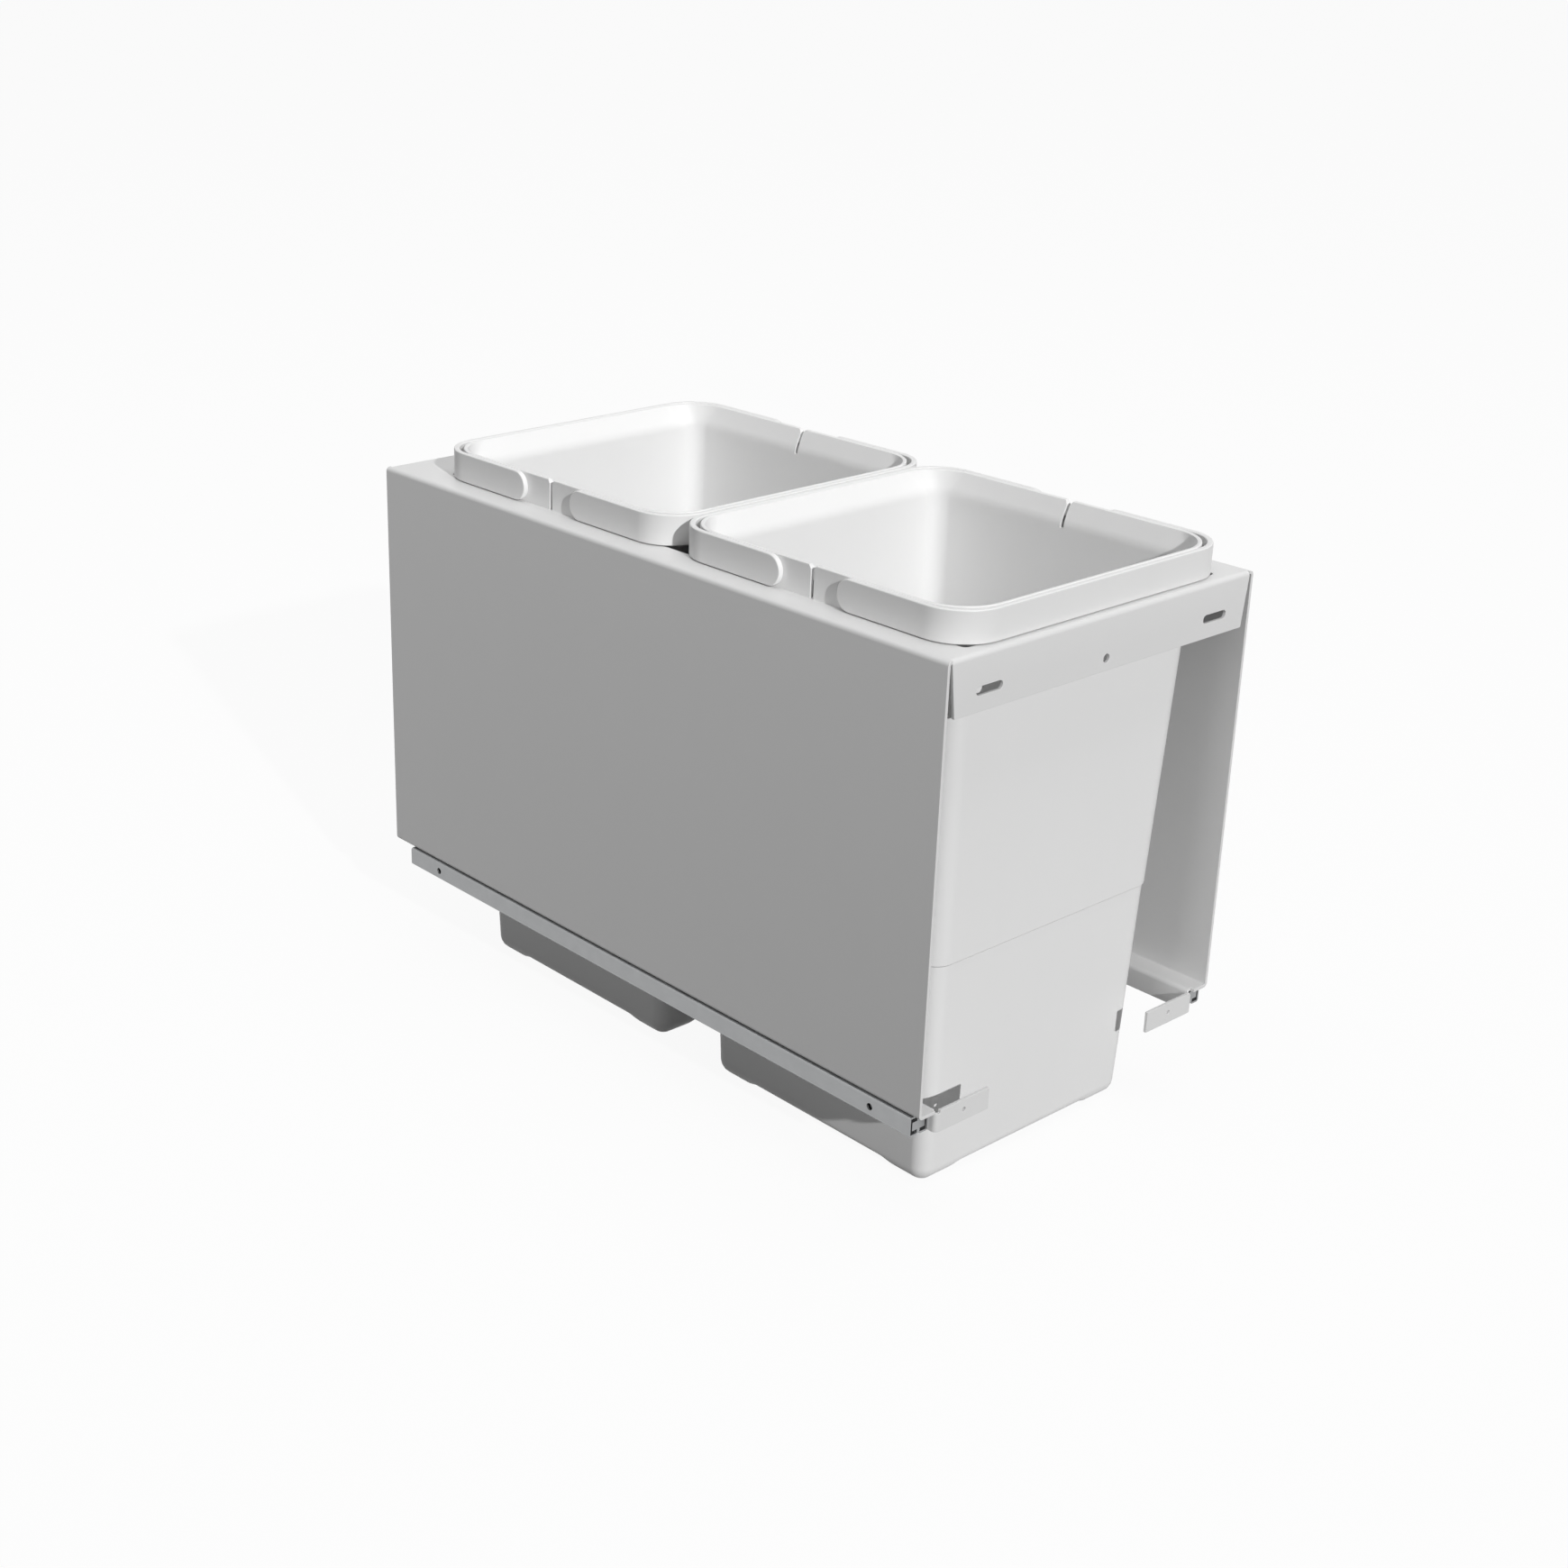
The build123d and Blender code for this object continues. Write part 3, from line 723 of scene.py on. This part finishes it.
roller_steel = ground.close(
    Base_Color=ground.mixed(lapping, (0.56, 0.56, 0.57, 1), (0.68, 0.68, 0.69, 1)),
    Metallic=1.0,
    Roughness=lapping * 0.10 + 0.14,
    Normal=ground.relief(lapping, 0.000003),
)
rubber = Finish(bpy.data.materials.new("bumper_rubber"))
bloom = rubber.grain(0.0010, 3.0, 0.6)
stop_rubber = rubber.close(
    Base_Color=rubber.mixed(bloom, (0.012, 0.012, 0.012, 1), (0.030, 0.030, 0.030, 1)),
    Roughness=bloom * 0.2 + 0.65,
    Normal=rubber.relief(bloom, 0.00003),
)
for name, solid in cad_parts.items():
    if "rollers" in name:
        finish = roller_steel
    elif "bumper" in name:
        finish = stop_rubber
    elif "rail" in name or "cage" in name:
        finish = zinc_plate_darkened_as_shade
    else:
        continue
    for patch in solid.material_slots:
        patch.material = finish
    if not solid.material_slots:
        solid.data.materials.append(finish)

# ---------------------------------------------------------------- studio
# A white floor at the bins' feet, one hard lamp from the front left, a broad soft one above and
# a weak even surround. The camera stands where the photographer's did.
floor_level = plate_top - bin_drop
floor_work = bmesh.new()
bmesh.ops.create_grid(floor_work, x_segments=1, y_segments=1, size=20.0)
bmesh.ops.translate(floor_work, vec=(0, 0, floor_level), verts=floor_work.verts)
floor = new_piece(floor_work, "floor")


def in_view(finish):
    """1 where the camera looks, straight or in a reflection, and 0 where light is only passed on."""
    camera_ray = finish.node("ShaderNodeLightPath", {}, {}, "Is Camera Ray")
    return camera_ray + camera_ray.beside("Is Glossy Ray")


paper = Finish(bpy.data.materials.new("floor_paper"))
matt = paper.node("ShaderNodeBsdfDiffuse", {}, {"Color": (0.22, 0.22, 0.22, 1)}, "BSDF")
bright = paper.node("ShaderNodeBsdfDiffuse", {}, {"Color": (0.90, 0.90, 0.90, 1)}, "BSDF")
white = paper.node("ShaderNodeEmission", {}, {"Color": (1, 1, 1, 1), "Strength": 1.0}, "Emission")
shaded = paper.node("ShaderNodeMixShader", {}, {0: 0.93, 1: bright, 2: white}, "Shader")
floor_look = paper.node("ShaderNodeMixShader", {}, {0: in_view(paper), 1: matt, 2: shaded}, "Shader")
floor.data.materials.append(paper.surface(floor_look))

key_direction = Vector((0.260, 0.867, -0.425))
key_lamp = bpy.data.lights.new("key", "SUN")
key_lamp.energy = 2.18
key_lamp.angle = radians(1.5)
key = bpy.data.objects.new("key", key_lamp)
key.rotation_mode = "QUATERNION"
key.rotation_quaternion = key_direction.to_track_quat("-Z", "Y")
bpy.context.scene.collection.objects.link(key)

top_lamp = bpy.data.lights.new("overhead", "AREA")
top_lamp.shape = "SQUARE"
top_lamp.size = 3.0
top_lamp.energy = 52.0
overhead = bpy.data.objects.new("overhead", top_lamp)
overhead.location = (0, frame_depth / 2, 3.0)
bpy.context.scene.collection.objects.link(overhead)

surround_light = 0.10         # on the unit. In view the surround is at 1
surround = Finish(bpy.data.worlds.new("surround"))
sky = surround.node(
    "ShaderNodeBackground", {},
    {"Color": (1, 1, 1, 1), "Strength": in_view(surround) * (1 - surround_light) + surround_light},
    "Background",
)
bpy.context.scene.world = surround.surface(sky, "ShaderNodeOutputWorld")

bearing = radians(40.344)     # of the view, from +Y towards +X
dip = radians(21.629)
roll = radians(0.590)
ahead = Vector((sin(bearing) * cos(dip), cos(bearing) * cos(dip), -sin(dip)))
level_right = Vector((cos(bearing), -sin(bearing), 0))
level_up = level_right.cross(ahead)
right = level_right * cos(roll) + level_up * sin(roll)
up = level_up * cos(roll) - level_right * sin(roll)
lens = bpy.data.cameras.new("camera")
lens.lens = 53.246
lens.sensor_width = 36.0
lens.shift_x = 0.1
lens.shift_y = -0.0156
camera = bpy.data.objects.new("camera", lens)
camera.location = (-0.9827, -0.7503, 0.4118)
camera.rotation_mode = "QUATERNION"
camera.rotation_quaternion = Matrix((right, up, -ahead)).transposed().to_quaternion()
bpy.context.scene.collection.objects.link(camera)
bpy.context.scene.camera = camera
bpy.context.scene.view_settings.view_transform = "Standard"
